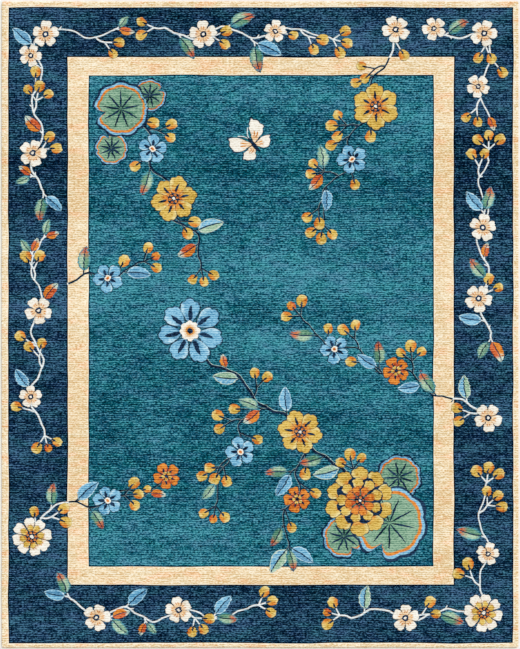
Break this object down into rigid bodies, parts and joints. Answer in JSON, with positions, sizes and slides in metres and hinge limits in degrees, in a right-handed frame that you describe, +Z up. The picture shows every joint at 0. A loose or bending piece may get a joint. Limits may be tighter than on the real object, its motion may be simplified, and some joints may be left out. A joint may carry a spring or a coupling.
{
  "type": "hand-tufted rug",
  "caption": "Flat rectangular cut-pile wool rug with a plain guard stripe, a wide dark border, a pale inner frame and a teal field of flowering sprays, laid on a floor to walk on.",
  "frame": {"origin": "on the floor, under the middle of the rug", "axes": "+X across the rug, along its rows of tufts; +Y along its length; +Z up out of the pile"},
  "size_m": [2.438, 3.048, 0.013],
  "materials": {
    "wool_pile": "matt cut wool pile in teal, navy and cream, tufted in rows and carved along the colour changes"
  },
  "bodies": {
    "root": {"rug": "wool_pile"}
  },
  "joints": []
}
